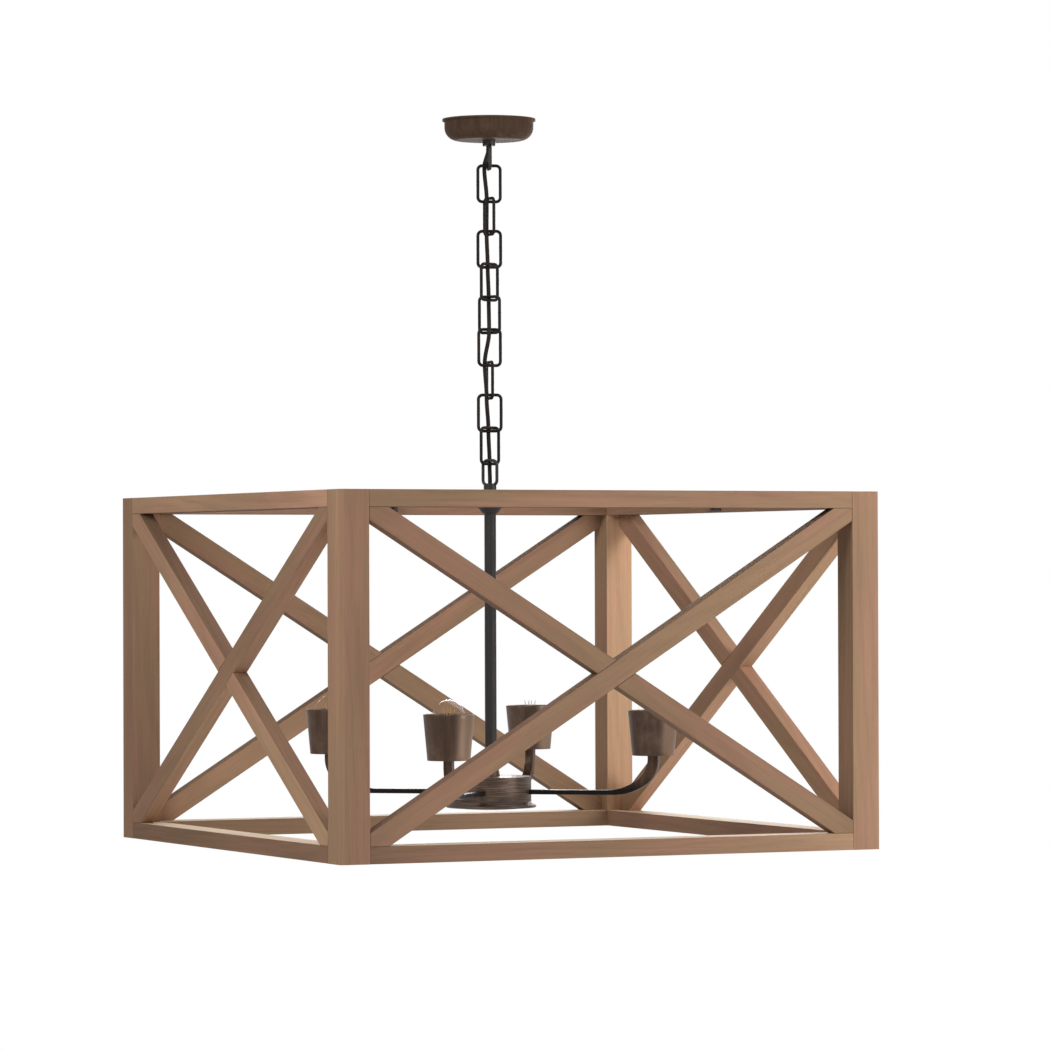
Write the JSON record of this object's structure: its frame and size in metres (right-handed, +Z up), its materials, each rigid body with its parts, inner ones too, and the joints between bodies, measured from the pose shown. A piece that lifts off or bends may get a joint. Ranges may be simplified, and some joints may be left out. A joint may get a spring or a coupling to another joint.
{
  "type": "cage chandelier",
  "caption": "Square wooden cage with a diagonal cross in each wall, hung by a chain, round a stem and hub whose curved arms carry upright cups with bulbs.",
  "frame": {"origin": "on the ceiling plane, midway between the two ceiling screws", "axes": "+Z up, out of the ceiling side; +X along the front wall and the ceiling bracket; +Y from the front wall to the back wall"},
  "size_m": [0.8, 0.8, 1.016],
  "materials": {
    "wood": "weathered, matt",
    "dowel_wood": "plain",
    "black_metal": "satin",
    "bronze": "satin, antiqued",
    "zinc": "zinc plated",
    "holder_plastic": "matt",
    "cord_sleeve": "matt",
    "bulb_glass": "clear"
  },
  "bodies": {
    "ceiling": {"ceiling_bracket": "zinc", "terminal_block": "holder_plastic", "canopy": "bronze", "canopy_loop": "black_metal", "lamp_cord": "cord_sleeve"},
    "link_1_body": {"link_1": "black_metal"},
    "link_2_body": {"link_2": "black_metal"},
    "link_3_body": {"link_3": "black_metal"},
    "link_4_body": {"link_4": "black_metal"},
    "link_5_body": {"link_5": "black_metal"},
    "link_6_body": {"link_6": "black_metal"},
    "link_7_body": {"link_7": "black_metal"},
    "link_8_body": {"link_8": "black_metal"},
    "link_9_body": {"link_9": "black_metal"},
    "cage": {"hanging_eye": "black_metal", "hanger_cross": "black_metal", "cross_screws": "zinc", "stem_boss": "black_metal", "stem": "black_metal", "hub_body": "bronze", "hub_cover": "bronze", "hub_fixings": "zinc", "lamp_leads": "cord_sleeve", "arm_front_right": "black_metal", "arm_back_right": "black_metal", "arm_back_left": "black_metal", "arm_front_left": "black_metal", "cup_front_right": "bronze", "cup_back_right": "bronze", "cup_back_left": "bronze", "cup_front_left": "bronze", "holder_front_right": "holder_plastic", "holder_back_right": "holder_plastic", "holder_back_left": "holder_plastic", "holder_front_left": "holder_plastic", "post_front_left": "wood", "post_front_right": "wood", "post_back_right": "wood", "post_back_left": "wood", "top_rail_front": "wood", "top_rail_right": "wood", "top_rail_back": "wood", "top_rail_left": "wood", "bottom_rail_front": "wood", "bottom_rail_right": "wood", "bottom_rail_back": "wood", "bottom_rail_left": "wood", "brace_front_rising": "wood", "brace_front_falling": "wood", "brace_right_rising": "wood", "brace_right_falling": "wood", "brace_back_rising": "wood", "brace_back_falling": "wood", "brace_left_rising": "wood", "brace_left_falling": "wood", "frame_dowels": "dowel_wood"},
    "bulb_front_right_body": {"bulb_front_right": "bulb_glass"},
    "bulb_back_right_body": {"bulb_back_right": "bulb_glass"},
    "bulb_back_left_body": {"bulb_back_left": "bulb_glass"},
    "bulb_front_left_body": {"bulb_front_left": "bulb_glass"}
  },
  "joints": [
    {"name": "chain_1", "type": "hinge", "parent": "ceiling", "child": "link_1_body", "pos_m": [0, 0, -0.07025], "axis": [-0.2629, -0.9648, 0], "range_deg": [-15, 15], "deforming": ["lamp_cord"]},
    {"name": "chain_2", "type": "hinge", "parent": "link_1_body", "child": "link_2_body", "pos_m": [0, 0, -0.1162], "axis": [0.9648, -0.2629, 0], "range_deg": [-15, 15]},
    {"name": "chain_3", "type": "hinge", "parent": "link_2_body", "child": "link_3_body", "pos_m": [0, 0, -0.1622], "axis": [0.0042, 1, 0], "range_deg": [-15, 15]},
    {"name": "chain_4", "type": "hinge", "parent": "link_3_body", "child": "link_4_body", "pos_m": [0, 0, -0.2082], "axis": [-0.9045, 0.4264, 0], "range_deg": [-15, 15]},
    {"name": "chain_5", "type": "hinge", "parent": "link_4_body", "child": "link_5_body", "pos_m": [0, 0, -0.2542], "axis": [0.9411, 0.3381, 0], "range_deg": [-15, 15]},
    {"name": "chain_6", "type": "hinge", "parent": "link_5_body", "child": "link_6_body", "pos_m": [0, 0, -0.3002], "axis": [-0.6124, 0.7906, 0], "range_deg": [-15, 15]},
    {"name": "chain_7", "type": "hinge", "parent": "link_6_body", "child": "link_7_body", "pos_m": [0, 0, -0.3462], "axis": [0.992, -0.126, 0], "range_deg": [-15, 15]},
    {"name": "chain_8", "type": "hinge", "parent": "link_7_body", "child": "link_8_body", "pos_m": [0, 0, -0.3922], "axis": [-0.1778, -0.9841, 0], "range_deg": [-15, 15]},
    {"name": "chain_9", "type": "hinge", "parent": "link_8_body", "child": "link_9_body", "pos_m": [0, 0, -0.4382], "axis": [-0.9045, 0.4264, 0], "range_deg": [-15, 15]},
    {"name": "chain_10", "type": "hinge", "parent": "link_9_body", "child": "cage", "pos_m": [0, 0, -0.4842], "axis": [-0.967, -0.2548, 0], "range_deg": [-15, 15]},
    {"name": "bulb_front_right_pull", "type": "slide", "parent": "cage", "child": "bulb_front_right_body", "axis": [0, 0, 1], "range_m": [0, 0.08]},
    {"name": "bulb_back_right_pull", "type": "slide", "parent": "cage", "child": "bulb_back_right_body", "axis": [0, 0, 1], "range_m": [0, 0.08]},
    {"name": "bulb_back_left_pull", "type": "slide", "parent": "cage", "child": "bulb_back_left_body", "axis": [0, 0, 1], "range_m": [0, 0.08]},
    {"name": "bulb_front_left_pull", "type": "slide", "parent": "cage", "child": "bulb_front_left_body", "axis": [0, 0, 1], "range_m": [0, 0.08]}
  ]
}
